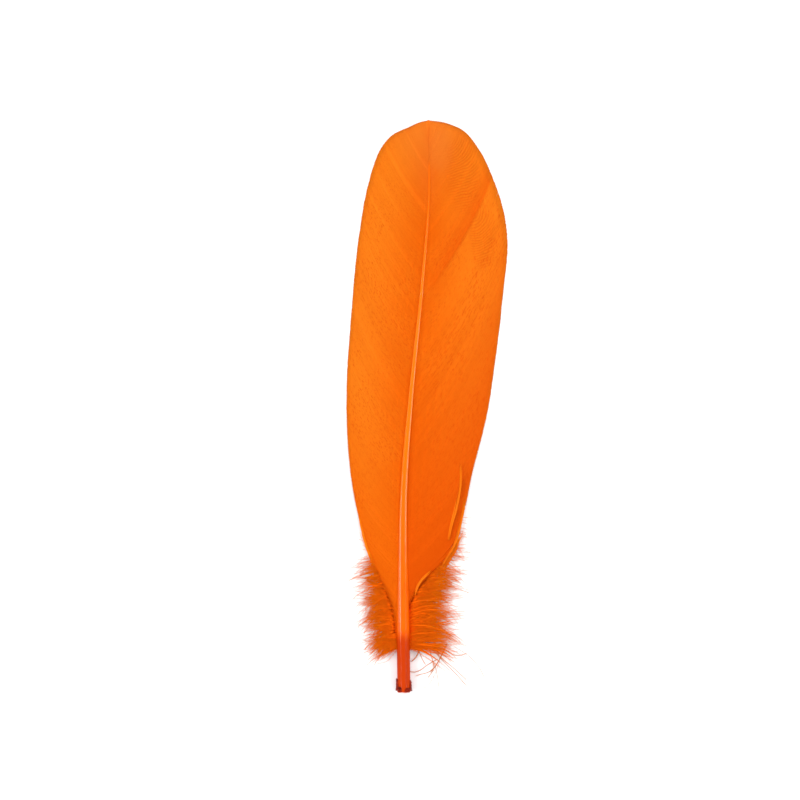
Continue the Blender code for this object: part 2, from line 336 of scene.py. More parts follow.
def make_model(name, sides, stations, end_size):
    """A rod of unit width, thickness and length along Y, closed, and narrowed to end_size at its far end."""
    deselect_all()
    upright = (math.pi / 2, 0, 0)
    bpy.ops.mesh.primitive_circle_add(vertices=sides, radius=0.5, fill_type="NGON", rotation=upright)
    model = bpy.context.object
    model.name = name
    bpy.ops.object.transform_apply(rotation=True)
    bpy.ops.object.mode_set(mode="EDIT")
    bpy.ops.mesh.select_all(action="SELECT")
    for _ in range(stations - 1):
        bpy.ops.mesh.extrude_region_move(TRANSFORM_OT_translate={"value": (0, 1 / (stations - 1), 0)})
    bpy.ops.transform.resize(value=(end_size, 1, end_size))
    if end_size == 0:
        bpy.ops.mesh.merge(type="CENTER")
    turn_outwards()
    print(name, "has", len(model.data.polygons), "faces")
    return model


barb_model = make_model("barb_model", 4, BARB_STATIONS, 0.7)
strip_model = make_model("strip_model", 4, THREAD_STATIONS, 0)
thread_model = make_model("thread_model", 3, THREAD_STATIONS, 0)
barbule_model = make_model("barbule_model", 3, 2, 0)

# %% Lay copies of a model along lines
TINY = 1e-12
ROUNDING = 1e-6


def unit(vectors):
    """The vectors' directions, with length 1."""
    return vectors / np.maximum(np.linalg.norm(vectors, axis=-1, keepdims=True), TINY)


def directions(lines):
    """Unit directions along lines, an array of (line, station, xyz)."""
    return unit(np.gradient(lines, axis=1))


def corners_of(model):
    return np.array([vert.co for vert in model.data.vertices])


def lay(model, lines, ups, widths, thicknesses):
    """Points and faces of one copy of the model along each line. Widths and thicknesses are per station."""
    corners = corners_of(model)
    stations = lines.shape[1]
    place = corners[:, 1] * (stations - 1)
    k = np.clip(np.floor(place + ROUNDING).astype(int), 0, stations - 2)
    t = (place - k)[None, :, None]
    ways = directions(lines)
    sideways = unit(np.cross(ways, ups))
    upward = np.cross(sideways, ways)
    rails = (lines, sideways * widths[:, :, None], upward * thicknesses[:, :, None])
    middle, across, up = (rail[:, k] * (1 - t) + rail[:, k + 1] * t for rail in rails)
    points = middle + across * corners[None, :, 0:1] + up * corners[None, :, 2:3]
    return points, [list(face.vertices) for face in model.data.polygons]


def write_mesh(name, parts):
    """One object from several (points, faces, grain, strand): points are (copy, corner, xyz)."""
    rows = []
    point_count = 0
    for points, faces, grain, strand in parts:
        copies, corners = points.shape[:2]
        loops = np.concatenate(faces)
        offsets = np.arange(copies)[:, None] * corners + point_count
        sizes = np.tile([len(face) for face in faces], copies)
        rows.append((points.reshape(-1, 3), (offsets + loops).ravel(), sizes,
                     grain[:, loops].reshape(-1, 2), np.repeat(strand, corners)))
        point_count += copies * corners
    points, loops, sizes, grain, strand = (np.concatenate(column) for column in zip(*rows))
    mesh = bpy.data.meshes.new(name)
    mesh.vertices.add(point_count)
    mesh.vertices.foreach_set("co", points.astype(np.float32).ravel())
    mesh.loops.add(len(loops))
    mesh.loops.foreach_set("vertex_index", loops.astype(np.int32))
    mesh.polygons.add(len(sizes))
    mesh.polygons.foreach_set("loop_start", (np.cumsum(sizes) - sizes).astype(np.int32))
    mesh.update(calc_edges=True)
    mesh.uv_layers.new(name="grain").uv.foreach_set("vector", grain.astype(np.float32).ravel())
    strands = mesh.attributes.new("strand", "FLOAT", "POINT")
    strands.data.foreach_set("value", strand.astype(np.float32))
    made = bpy.data.objects.new(name, mesh)
    bpy.context.scene.collection.objects.link(made)
    print(name, "has", sum(len(p.vertices) - 2 for p in mesh.polygons), "triangles")
    return made


# %% [markdown]
# ## The vanes
#
# A barb leaves the shaft steeply, curves towards the tip, and ends on the feather's edge. Near the tip
# the barbs fan out, so they are spaced by whichever is larger, the step along the shaft or the step along
# the edge. Each is a flat rod, wider than the gap to the next and tilted like a shingle, so a vane closes
# without a sheet under it. Where the hooks have let go the vane is split: the barbs on both sides of a
# split lean away from it.

# %% The line of each barb
BARB_LEAN = ((0.14, 50), (0.2, 43), (0.3, 33), (0.55, 28), (0.8, 31), (0.92, 27), (0.97, 15), (1, 0))
BARB_CURL = math.radians(9)
CURL_REACH = 0.45
STRAIGHT_UNDER = 0.3  # a barb that leans less than this, in radians, curls less too
BARBS_A_SIDE = 380
TRIAL_BARBS = 400
EDGE_SHARE = 0.9  # how much a step on the edge counts beside one on the shaft
# Splits in the vanes' edges: side, where the barb beside it leaves the shaft, how wide it gapes, its reach
SPLITS = ((1, 0.295, 0.25 * MM, 0.02), (1, 0.25, 0.35 * MM, 0.02), (1, 0.205, 0.5 * MM, 0.02),
          (1, 0.61, 0.25 * MM, 0.01), (-1, 0.53, 0.2 * MM, 0.01), (-1, 0.2, 0.5 * MM, 0.02))
SPLIT_POWER = 4  # how late on its way a barb turns away from a split


def barb_end(side, root):
    """Where on the edge a barb ends, as a share of the edge's points."""
    start = np.array([shaft_x(root), y_of(root)])
    lean = math.radians(float(smooth(BARB_LEAN, root)))
    away = EDGES[side] - start
    leans = np.arctan2(side * away[:, 0], away[:, 1])
    order = np.argsort(leans)
    return float(np.interp(lean, leans[order], order))


def point_on_edge(side, place):
    edge = EDGES[side]
    places = np.arange(len(edge))
    return np.array([np.interp(place, places, edge[:, i]) for i in (0, 1)])


def barb_roots(side, count):
    """Places along the shaft for the barbs, evenly spaced by the larger of their steps on shaft and edge."""
    trial = np.linspace(VANE_STARTS[side], 1, TRIAL_BARBS)
    ends = np.array([barb_end(side, root) for root in trial])
    steps = np.maximum(np.diff(trial) * LENGTH, np.abs(np.diff(ends)) * EDGE_STEPS[side] * EDGE_SHARE)
    place = np.concatenate([[0], np.cumsum(steps)])
    return np.interp(np.linspace(0, place[-1], count), place, trial)


def barb_lines(side, roots, reaches):
    """Lines of the barbs that leave the shaft at the roots: an array (barb, station, xyz)."""
    t = np.linspace(0, 1, BARB_STATIONS)[:, None]
    lines = []
    for root, reach in zip(roots, reaches):
        place = barb_end(side, root)
        parted = 0
        for split_side, split_root, gape, near in SPLITS:
            if split_side == side:
                apart = (root - split_root) / near
                parted += math.copysign(gape / 2 / EDGE_STEPS[side], apart) * math.exp(-abs(apart))
        start = np.array([shaft_x(root), y_of(root)])
        at_edge = point_on_edge(side, place)
        turned = point_on_edge(side, min(place + parted, len(EDGES[side]) - 1)) - at_edge
        chord = (at_edge - start) * reach
        lean = math.atan2(side * chord[0], chord[1])
        steep = lean + BARB_CURL * min(1, lean / STRAIGHT_UNDER)
        first_way = np.array([side * math.sin(steep), math.cos(steep)])
        bend = start + CURL_REACH * np.linalg.norm(chord) * first_way
        plan = start * (1 - t) ** 2 + 2 * bend * t * (1 - t) + (start + chord) * t**2
        plan = plan + turned * t**SPLIT_POWER
        lines.append(np.column_stack([plan, vane_z(side, root, plan[:, 0], plan[:, 1])]))
    return np.array(lines)


# %% Lay the barbs as shingles
SHINGLE_TILT, TILT_JITTER, TILT_WAVE = 0.12, 0.05, 0.03
BARB_OVERLAP = 1.75
NARROWEST_BARB, WIDEST_BARB = 0.16 * MM, 0.8 * MM
BARB_THICKNESS = 0.07 * MM
RAGGEDNESS = 0.001
WAVE_HEIGHT, WAVE_POWER = 0.035, 0.7  # the first in mm
FRAYED_UNTIL = {-1: 0.18, 1: 0.19}  # below this share of the length the barbs come apart towards their ends
FRAY_POWER = 3
FRAY_SIZE = (0.3, 0.3, 0.1)  # in mm
FRAY_THINNING = 0.4


def slow_noise(draw, count, step):
    """Random values that change smoothly over about `step` neighbours."""
    knots = draw.normal(size=int(count / step) + 4)
    at = np.linspace(0, len(knots) - 2, count)
    return smooth(np.stack([np.arange(len(knots)), knots], 1), at)


def make_vane(side, name):
    draw = np.random.default_rng(20 + side)
    roots = barb_roots(side, BARBS_A_SIDE)
    ragged = 1 + RAGGEDNESS * (draw.normal(size=len(roots)) + slow_noise(draw, len(roots), step=6))
    lines = barb_lines(side, roots, ragged)
    t = np.linspace(0, 1, BARB_STATIONS)
    ways = directions(lines)
    between = np.gradient(lines, axis=0)
    crossed = np.cross(between, ways)
    gaps = np.linalg.norm(crossed, axis=2)
    ups = unit(crossed * np.sign(crossed[:, :, 2:3]))
    waves = slow_noise(draw, len(roots), step=9)[:, None] * np.sin(math.pi * t)[None, :] ** WAVE_POWER
    lines = lines + ups * (waves * WAVE_HEIGHT * MM)[:, :, None]
    loose = np.clip((FRAYED_UNTIL[side] - roots) / (FRAYED_UNTIL[side] - VANE_STARTS[side]), 0, 1)
    loose = loose[:, None] * t[None, :] ** FRAY_POWER
    stray = draw.normal(size=(len(roots), 3)) * FRAY_SIZE * MM
    lines = lines + loose[:, :, None] * stray[:, None, :]
    tilts = SHINGLE_TILT + TILT_JITTER * draw.normal(size=len(roots))
    tilts = tilts + TILT_WAVE * slow_noise(draw, len(roots), step=4)
    ups = ups + np.cross(ways, ups) * (side * tilts)[:, None, None]
    widths = np.clip(gaps * BARB_OVERLAP, NARROWEST_BARB, WIDEST_BARB) * (1 - FRAY_THINNING * loose)
    points, faces = lay(barb_model, lines, ups, widths, np.full_like(widths, BARB_THICKNESS))
    grain = np.stack(np.broadcast_arrays(corners_of(barb_model)[None, :, 1], roots[:, None]), axis=2)
    strand = draw.random(len(roots))
    vane = write_mesh(name, [(points, faces, grain, strand)])
    print(name, "barb gaps, in mm:", round(gaps.min() / MM, 2), "to", round(gaps.max() / MM, 2))
    return vane


left_vane = make_vane(-1, "left_vane")
right_vane = make_vane(1, "right_vane")

# %% [markdown]
# ## The down
#
# Below the vanes the barbs are limp threads with long soft barbules. They leave the shaft side by side,
# curl outwards and cling together in flat wisps, which only come apart near their ends. So three things
# follow one line: a flat pointed strip for the barbs that cling, threads for those that have come free,
# and some dozens of barbules along each thread. Strips alone would look cut from paper, and threads
# alone would need ten times as many before the down looks full.

# %% The middle line of each lock
DOWN_START = 0.082
DOWN_ENDS = {-1: 0.208, 1: 0.245}
DOWN_SEAT = 0.05 * MM  # height of the locks' roots over the shaft's middle
TUFTS_A_SIDE = 25
LOWEST_TUFT = 17 * MM
HIGHEST_TUFT = 22 * MM
LEFT_TUFTS = 0.68  # length of the left locks beside the right ones
SWAY_STEP, SWAY_LENGTH, SWAY_TURN = 2.4, 0.14, 14  # radians from lock to lock, share, degrees
TURN_POWER = 1.3  # how late on its way a lock turns
# By side: (share from the lowest lock to the highest, degrees from the feather's own direction)
FIRST_WAYS = {-1: ((0, 95), (0.15, 74), (0.4, 54), (1, 36)), 1: ((0, 88), (0.15, 59), (0.4, 40), (1, 29))}
TURNS = {-1: ((0, 30), (0.15, 62), (0.4, 82), (1, 88)), 1: ((0, 22), (0.15, 56), (0.4, 80), (1, 90))}
# In each layer: lift over the line from root to tip, the tip's height, and how much further round it points
TUFT_LAYERS = ((0.4 * MM, 1.15 * MM, 8), (0.48 * MM, 1.25 * MM, -7), (0.54 * MM, 1.35 * MM, 2),
               (0.44 * MM, 1.4 * MM, -11), (0.5 * MM, 1.2 * MM, 5))
LEAST_ROUND, MORE_ROUND = 0.2, 2  # share of that turn at the lowest lock, and its growth, up to the whole


def drooping_line(side, start, length, first_way, turn, tip_height, lift):
    """A line from `start`, whose way over the table turns from first_way by `turn`."""
    t = np.linspace(0, 1, THREAD_STATIONS)
    ways = np.radians(first_way + turn * t**TURN_POWER)
    steps = length / (THREAD_STATIONS - 1) * np.stack([side * np.sin(ways), np.cos(ways)], 1)
    plan = start[:2] + np.concatenate([[[0, 0]], np.cumsum(steps[1:], axis=0)])
    height = start[2] + (tip_height - start[2]) * t + lift * np.sin(math.pi * t)
    return np.column_stack([plan, height])


def tuft_line(side, number, layer, length_share, way_more, turn_more):
    """Points of a lock's middle line. The low ones stick out from the quill, the high ones curl back."""
    share = number / (TUFTS_A_SIDE - 1)
    sway = math.sin(SWAY_STEP * number + side)
    length = (LOWEST_TUFT + (HIGHEST_TUFT - LOWEST_TUFT) * share) * (1 + SWAY_LENGTH * sway)
    length *= (LEFT_TUFTS if side < 0 else 1) * length_share
    lift, tip_height, round_by = TUFT_LAYERS[layer % len(TUFT_LAYERS)]
    round_by *= min(1, MORE_ROUND * share + LEAST_ROUND)
    first_way = float(smooth(FIRST_WAYS[side], share)) + round_by + way_more
    turn = float(smooth(TURNS[side], share)) - SWAY_TURN * sway * share + turn_more
    root = DOWN_START + (DOWN_ENDS[side] - DOWN_START) * share
    start = np.array([shaft_x(root), y_of(root), shaft_z(root) + DOWN_SEAT], float)
    return drooping_line(side, start, length, first_way, turn, tip_height, lift)


# %% Barbules along a thread
BARBULE_STEP = 0.27 * MM
BARBULE_PLACES = (0.02, 0.98, 0.004)  # first, last and jitter, in shares of the thread
BARBULE_WIDTH = 0.036 * MM
BARBULE_LENGTH = 1.1 * MM
BARBULE_LENGTHS = (0.55, 0.6)  # share of that length: least, and at random more
SHORTER_AT_TIP = 0.7
BARBULE_LEANS = (42, 22, 10)  # degrees at the root, less at the tip, jitter
BARBULE_ROLL = 0.6


def at_random(draw, least, more, size=None):
    return least + more * draw.random(size)


def at_places(line, places):
    """Points at the places (0 to 1) of a line."""
    at = np.linspace(0, 1, len(line))
    return np.stack([np.interp(places, at, column) for column in line.T], 1)


def barbules_on(draw, line, length, step=BARBULE_STEP, bare_until=BARBULE_PLACES[0]):
    """Two-point lines of the barbules on a thread: long near its root, short and close to it at its tip."""
    reach = np.linalg.norm(np.diff(line, axis=0), axis=1).sum()
    count = max(2, int(reach * (1 - bare_until) / step))
    _, last, jitter = BARBULE_PLACES
    places = np.repeat(np.linspace(bare_until, last, count), 2) + draw.normal(size=2 * count) * jitter
    places = np.clip(places, 0, 1)
    points = at_places(line, places)
    ways = unit(at_places(np.gradient(line, axis=0), places))
    hand = np.tile([-1.0, 1.0], count)[:, None]
    sideways = unit(np.cross(ways, [0, 0, 1.0]))
    upward = np.cross(sideways, ways)
    roll = draw.normal(size=(2 * count, 1)) * BARBULE_ROLL
    out = sideways * hand * np.cos(roll) + upward * np.sin(roll)
    at_root, less, jitter = BARBULE_LEANS
    places = places[:, None]
    leans = np.radians(at_root - less * places + jitter * draw.normal(size=(2 * count, 1)))
    lengths = length * at_random(draw, *BARBULE_LENGTHS, (2 * count, 1)) * (1 - SHORTER_AT_TIP * places**2)
    ends = points + lengths * (ways * np.cos(leans) + out * np.sin(leans))
    return np.stack([points, ends], 1)


# %% Keep hairs in their place, and write them
LOWEST_DOWN = 0.15 * MM
BOX_MARGIN = 0.2 * MM
UNDER_VANE = 0.16 * MM
COVERED_FROM = 0.01  # share of the length before the vane's start
COVER_MARGIN = 0.5 * MM
NEARLY_UP = np.array([0.02, 0.01, 1.0])  # never quite along a hair
GRAIN_SHIFT = 40  # moves the streaks of each hair to another place of the pattern


def keep_under(side, lines):
    """Lowers what would stick up through the vane."""
    lowered = lines.copy()
    x, y = lines[..., 0], lines[..., 1]
    over_edge = side * (x - edge_x(side, y))
    covered = (along_of(y) > VANE_STARTS[side] - COVERED_FROM) & (over_edge < COVER_MARGIN)
    ceiling = vane_z(side, 0.0, x, y) - UNDER_VANE
    lowered[..., 2] = np.where(covered, np.minimum(lines[..., 2], ceiling), lines[..., 2])
    return lowered


def keep_in(lines):
    """Holds the lines inside the solid's box, and over the table."""
    inside = lines.copy()
    inside[..., 0] = np.clip(inside[..., 0], low.x + BOX_MARGIN, high.x - BOX_MARGIN)
    inside[..., 2] = np.clip(inside[..., 2], LOWEST_DOWN, high.z - BOX_MARGIN)
    return inside


def hairs(name, *kinds):
    """One piece from kinds of hair: (model, lines, widths, thickness, roll, (least, most) paleness)."""
    draw = np.random.default_rng(len(kinds[-1][1]))
    parts = []
    for model, lines, widths, thickness, roll, (least, most) in kinds:
        lines = keep_in(np.asarray(lines))
        ups = np.broadcast_to(NEARLY_UP + roll * draw.normal(size=(len(lines), 1, 3)), lines.shape)
        widths = np.broadcast_to(widths, lines.shape[:2])
        points, faces = lay(model, lines, ups, widths, np.full(lines.shape[:2], thickness))
        corners = corners_of(model)
        strand = at_random(draw, least, most - least, len(lines))
        along_hair = np.broadcast_to(corners[None, :, 1], points.shape[:2])
        across_hair = corners[None, :, 0] + GRAIN_SHIFT * strand[:, None]
        parts.append((points, faces, np.stack([along_hair, across_hair], axis=2), strand))
    return write_mesh(name, parts)


# %% Strips and threads of the down
WISPS_A_TUFT = 11
THREADS_A_WISP = 3
LOW_TUFTS = 4  # the lowest locks of each side, which spread less and droop
WAY_SPREAD, LESS_WAY = 11, 5  # degrees
TURN_SPREAD, LESS_TURN = 22, 0.6
WISP_REACH = (0.76, 0.3)  # share of the lock: least, and at random more
WISP_WAVE = 0.5 * MM
DRIFT, DRIFT_POWER = (1.1, 1.1, 0.2), 1.5  # in mm
ROOT_SPREAD, ROOT_POWER = 2.5, 1.2  # in steps from lock to lock
STRIP_WIDTH = 0.8 * MM
STRIP_THICKNESS = 0.06 * MM
STRIP_OUTLINE = ((0, 0.6), (0.3, 1), (0.65, 0.6), (1, 0.05))  # share of its length, share of its width
STRIP_LENGTH = 0.78
STRIP_ROLL = 0.07
THREAD_WIDTH = 0.085 * MM
THREAD_REACH = (0.72, 0.28)
THREAD_WAVE = 0.4 * MM
THREAD_LIFT = 0.1 * MM
LONG_THREADS, LONGER_BY = 0.2, (0.1, 0.25)  # share of the threads that reach beyond the others
BULGE, BULGE_UNTIL, BULGE_POWER = (0.7, 0.7, 0.1), 0.85, 0.8  # in mm
DROOP = 2 * MM
BARE_UNTIL, LESS_BARE = 0.42, 0.8
HAIR_FLATNESS = 0.2  # thickness of threads and barbules beside their width
WAVE_TURNS = (4, 4)  # radians over a hair: least, and at random more
WAVE_START = 6.3
WAVE_SHAPE = (1, 1, 0.2)


def shortened(line, share):
    """The first part of a line, with as many points as the whole line."""
    return at_places(line, np.linspace(0, 1, len(line)) * share)


def wavy(draw, line, size):
    """The line with a soft wave that grows towards its tip."""
    t = np.linspace(0, 1, len(line))[:, None]
    turns = at_random(draw, *WAVE_TURNS)
    wave = np.sin(t * turns + WAVE_START * draw.random(3)) * t
    return line + wave * draw.normal(size=3) * WAVE_SHAPE * size


def make_down(side, numbers, name):
    """The fluff of the locks with these numbers."""
    draw = np.random.default_rng(40 + side + numbers[0])
    strips, threads, barbules = [], [], []
    t = np.linspace(0, 1, THREAD_STATIONS)[:, None]
    tuft_step = (DOWN_ENDS[side] - DOWN_START) * LENGTH / TUFTS_A_SIDE
    for number in numbers:
        lowness = 1 - min(1, number / LOW_TUFTS)
        bare = BARE_UNTIL * (1 - LESS_BARE * lowness)
        for wisp in range(WISPS_A_TUFT):
            way = (WAY_SPREAD - LESS_WAY * lowness) * draw.normal()
            turn = TURN_SPREAD * (1 - LESS_TURN * lowness) * draw.normal()
            reach = at_random(draw, *WISP_REACH)
            drift = draw.normal(size=3) * DRIFT * MM
            wave = np.random.default_rng(draw.integers(1000))
            middle = wavy(wave, tuft_line(side, number, number + wisp, reach, way, turn), WISP_WAVE)
            middle = middle + drift * t**DRIFT_POWER
            middle = middle + (1 - t) ** ROOT_POWER * (0, (draw.random() - 0.5) * ROOT_SPREAD * tuft_step, 0)
            strips.append(keep_under(side, shortened(middle, STRIP_LENGTH)))
            for _ in range(THREADS_A_WISP):
                line = shortened(middle, at_random(draw, *THREAD_REACH))
                if draw.random() < LONG_THREADS:
                    line = line + (line - line[0]) * at_random(draw, *LONGER_BY) * t**2
                bulge = draw.normal(size=3) * BULGE * MM * np.sin(math.pi * t * BULGE_UNTIL) ** BULGE_POWER
                droop = (0, -DROOP * lowness * draw.random(), 0) * t**2
                line = wavy(draw, line + bulge + droop + (0, 0, THREAD_LIFT), THREAD_WAVE)
                barbules.append(keep_under(side, barbules_on(draw, line, BARBULE_LENGTH, bare_until=bare)))
                threads.append(keep_under(side, line))
    outline = STRIP_WIDTH * smooth(STRIP_OUTLINE, t[:, 0])
    return hairs(
        name,
        (strip_model, strips, outline, STRIP_THICKNESS, STRIP_ROLL, (0, 0.4)),
        (thread_model, threads, THREAD_WIDTH, THREAD_WIDTH * HAIR_FLATNESS, 0, (0.1, 0.5)),
        (barbule_model, np.concatenate(barbules), BARBULE_WIDTH, BARBULE_WIDTH * HAIR_FLATNESS, 0, (0.7, 1)),
    )


down_pieces = []
for side, side_name in ((-1, "left"), (1, "right")):
    for first, height_name in ((0, "low"), (TUFTS_A_SIDE // 2, "high")):
        numbers = range(TUFTS_A_SIDE)[first : first + TUFTS_A_SIDE // 2 + 1]
        down_pieces.append(make_down(side, numbers, f"{side_name}_down_{height_name}"))

# %% [markdown]
# ## Loose barbs and stray hairs
#
# The lowest barbs of each vane have let go of their neighbours, and cling to one another as pale wisps
# along the vane's edge. A few hairs of the down lie on the table one by one. No rule gives these
# accidents, so each is drawn by the places that it passes, and then made like the down.

# %% Loose barbs and stray hairs
# Width in mm, then the places in mm that the wisp or hair passes
LOOSE_BARBS = (
    (1.3, (3.2, -52.4), (4.1, -48.8), (5.6, -46.2), (7.3, -43.2), (8.8, -40.8), (9.7, -37.3),
     (10.6, -33.7), (11.5, -29.6), (11.8, -26.6)),
    (0.9, (6.4, -39.7), (7.3, -35.2), (8.2, -32), (9.1, -27.8), (9.7, -23.7), (9.7, -20.1), (9.4, -16)),
    (0.9, (-3.9, -58), (-3.3, -54.7), (-2.4, -52.4), (-0.9, -50.6), (1.1, -48.8)),
    (0.8, (4.7, -49.1), (6.4, -45.9), (8.2, -42.6), (9.1, -39.7), (10.6, -37)),
    (0.7, (-12.6, -54.7), (-14.4, -52.4), (-15.6, -49.7), (-16.6, -45.6), (-17.6, -42)),
    (0.6, (-15, -49.1), (-16.7, -45.6), (-18.1, -41.4), (-19.4, -37.3)),
    (0.5, (-17.4, -43.2), (-18.7, -39.7), (-19.8, -35.8), (-20.6, -32)),
    (0.7, (-11.6, -59.2), (-13.7, -55.6), (-15.7, -53.3), (-18.7, -51.5)),
)
LOOSE_THREADS = 4
LOOSE_WIDTH, LOOSE_THICKNESS, LOOSE_ROLL = 0.6, 0.09 * MM, 0.1  # the first in widths of the wisp
LOOSE_OUTLINE = ((0, 0.5), (0.4, 1), (0.8, 0.6), (1, 0.1))
LOOSE_REACH = (0.9, 0.1)
LOOSE_SPREAD, SPREAD_AT_ROOT, THREAD_SPREAD = (0.35, 0.3, 0.08), 0.3, 1.6
LOOSE_THREAD, LOOSE_WAVE = 0.1 * MM, 0.12 * MM
LOOSE_OVER_VANE = 0.22 * MM
STRAY_HAIRS = (
    (0.26, (-3, -69.2), (-2.1, -71.6), (-2.7, -73.7), (-3.6, -75.2), (-4.8, -76.3)),
    (0.14, (-2.4, -72.8), (-1.5, -75.2), (-0.4, -77.2)),
    (0.18, (3.2, -75.2), (-0.1, -77.2), (-2.1, -78.7), (-3.9, -79.3), (-5.4, -79)),
    (0.15, (2.6, -77.5), (0.2, -79.3), (-1.8, -79.9), (-3.6, -80.5)),
    (0.14, (2, -78.4), (0.8, -80.2), (0.2, -81.1)),
    (0.18, (0.2, -70.7), (1.1, -73.7), (1.7, -76), (2, -78.1)),
    (0.26, (5.9, -70.7), (4.4, -74), (2.9, -76.9), (0.8, -79.6)),
    (0.09, (2, -76.3), (3.2, -81.1), (3.5, -84.3)),
    (0.13, (1.4, -71.9), (4.1, -75.2), (7.3, -78.4), (10.3, -81.7), (12.4, -84.2)),
    (0.12, (2, -71.3), (4.1, -74.9), (7.3, -77.5), (10.6, -80.5), (12.4, -82.3)),
    (0.15, (3.2, -70.7), (6.2, -73.1), (8.5, -74.3), (12.1, -73.7)),
    (0.2, (-2.7, -69.2), (-3.6, -70.7), (-4.8, -72.8)),
    (0.08, (3.8, -75.8), (1.7, -81.1), (-0.1, -83.6), (-1.6, -84.4)),
    (0.1, (8.2, -71.6), (12.7, -74.6), (15.3, -77.5), (17.4, -81.7)),
    (0.18, (-8.6, -68.9), (-9.8, -71), (-10.7, -72.2), (-12.8, -72.8)),
    (0.1, (-8.6, -71.6), (-10.7, -72.5), (-12.2, -72.8)),
    (0.13, (-11, -68.1), (-14, -69.8), (-16.9, -71), (-19, -72.8)),
    (0.13, (-11.6, -66.9), (-14.6, -68.6), (-17.2, -70.1), (-19.6, -69.5)),
)
STRAY_HEIGHTS = (1.9 * MM, 0.35 * MM)
STRAY_WIDTH, STRAY_THICKNESS = 1.35, 0.12 * MM  # the first in widths as listed
LOOSE_BARBULE = 0.5 * MM
draw = np.random.default_rng(5)
t = np.linspace(0, 1, THREAD_STATIONS)
strips, threads, fluff, outlines = [], [], [], []
for width, *places in LOOSE_BARBS:
    x, y = evenly(np.array(places) * MM, 1, THREAD_STATIONS)
    side = 1 if x[0] > shaft_x(along_of(y[0])) else -1
    line = np.stack([x, y, vane_z(side, 0.0, x, y) + LOOSE_OVER_VANE], 1)
    for _ in range(LOOSE_THREADS):
        apart = draw.normal(size=3) * LOOSE_SPREAD * width * MM * (SPREAD_AT_ROOT + t[:, None])
        strips.append(shortened(line + apart, at_random(draw, *LOOSE_REACH)))
        outlines.append(LOOSE_WIDTH * width * MM * smooth(LOOSE_OUTLINE, t))
        threads.append(wavy(draw, line + THREAD_SPREAD * apart, LOOSE_WAVE))
        fluff.append(barbules_on(draw, threads[-1], LOOSE_BARBULE, 2 * BARBULE_STEP))
loose_barbs = hairs(
    "loose_barbs",
    (strip_model, strips, np.array(outlines), LOOSE_THICKNESS, LOOSE_ROLL, (0.3, 0.8)),
    (thread_model, threads, LOOSE_THREAD, LOOSE_THREAD, 0, (0.3, 0.8)),
    (barbule_model, np.concatenate(fluff), BARBULE_WIDTH, BARBULE_WIDTH, 0, (0.7, 1)),
)

threads, fluff, widths = [], [], []
for width, *places in STRAY_HAIRS:
    x, y = evenly(np.array(places) * MM, 1, THREAD_STATIONS)
    threads.append(np.stack([x, y, np.interp(t, (0, 1), STRAY_HEIGHTS)], 1))
    fluff.append(barbules_on(draw, threads[-1], LOOSE_BARBULE, 4 * BARBULE_STEP))
    widths.append(np.full(THREAD_STATIONS, STRAY_WIDTH * width * MM))
stray_hairs = hairs(
    "stray_hairs",
    (thread_model, threads, np.array(widths), STRAY_THICKNESS, 0, (0.5, 1)),
    (barbule_model, np.concatenate(fluff), BARBULE_WIDTH, BARBULE_WIDTH, 0, (0.7, 1)),
)

# %% [markdown]
# ## Dried sheath at the cut end
#
# A growing feather sits in a sheath of skin, and dry flakes of it cling to the quill's end. Each flake is
# a small grid that is wrapped round the quill, crumpled and given a thickness. A grid is the right start,
# because its rows stay parallel to the quill and only its rim is torn.

# %% Wrap flakes of sheath round the quill
# Turn round the quill in degrees (0 right, 90 up), how far round it goes, start, length, curl off the quill
FLAKES = ((4, 60, 0.25 * MM, 3.6 * MM, 0.2 * MM), (174, 64, 0.3 * MM, 3.9 * MM, 0.22 * MM),
          (128, 40, 0.3 * MM, 1.6 * MM, 0.08 * MM), (58, 52, 0.28 * MM, 1.2 * MM, 0.1 * MM))
FLAKE_GRID = 14
FLAKE_THICKNESS = 0.13 * MM
FLAKE_OVER_QUILL = 0.1 * MM
TORN_START, TORN_END = 0.08, 0.3  # shares of the length
FLAKE_TAPER = 0.35
END_CURL = 0.35  # the curl at a flake's far end, beside 1 more at the cut end
CRUMPLE = 0.09  # in mm
FLAKE_CREASE = math.radians(40)


def make_flake(name, draw, turn, spread, start, length, curl):
    deselect_all()
    bpy.ops.mesh.primitive_grid_add(x_subdivisions=FLAKE_GRID, y_subdivisions=FLAKE_GRID, size=1)
    flake = bpy.context.object
    flake.name = name
    rim = draw.random((2, FLAKE_GRID + 1))
    bumps = draw.normal(size=(FLAKE_GRID + 1, FLAKE_GRID + 1))
    for vert in flake.data.vertices:
        u, v = vert.co.x + 0.5, vert.co.y + 0.5
        column, row = round(u * FLAKE_GRID), round(v * FLAKE_GRID)
        torn = (1 - v) * rim[0, column] * TORN_START + v * rim[1, column] * TORN_END
        y = y_of(0) + start + length * (v * (1 - torn) + (1 - v) * torn)
        angle = math.radians(turn + spread * (u - 0.5) * (1 - FLAKE_TAPER * v))
        lifted = curl * (END_CURL + (1 - v) ** 2) * math.sin(math.pi * u) ** 0.5
        radius = QUILL_WIDTH / 2 + FLAKE_OVER_QUILL + lifted
        radius += bumps[column, row] * CRUMPLE * MM
        along = along_of(y)
        vert.co = (
            float(shaft_x(along)) + radius * math.cos(angle),
            y,
            max(float(shaft_z(along)) + radius * math.sin(angle), LOWEST_DOWN),
        )
    wall = flake.modifiers.new("wall", "SOLIDIFY")
    wall.thickness = FLAKE_THICKNESS
    wall.offset = 0
    bpy.ops.object.modifier_apply(modifier="wall")
    bpy.ops.object.mode_set(mode="EDIT")
    turn_outwards()
    bpy.ops.object.shade_smooth_by_angle(angle=FLAKE_CREASE)
    return flake


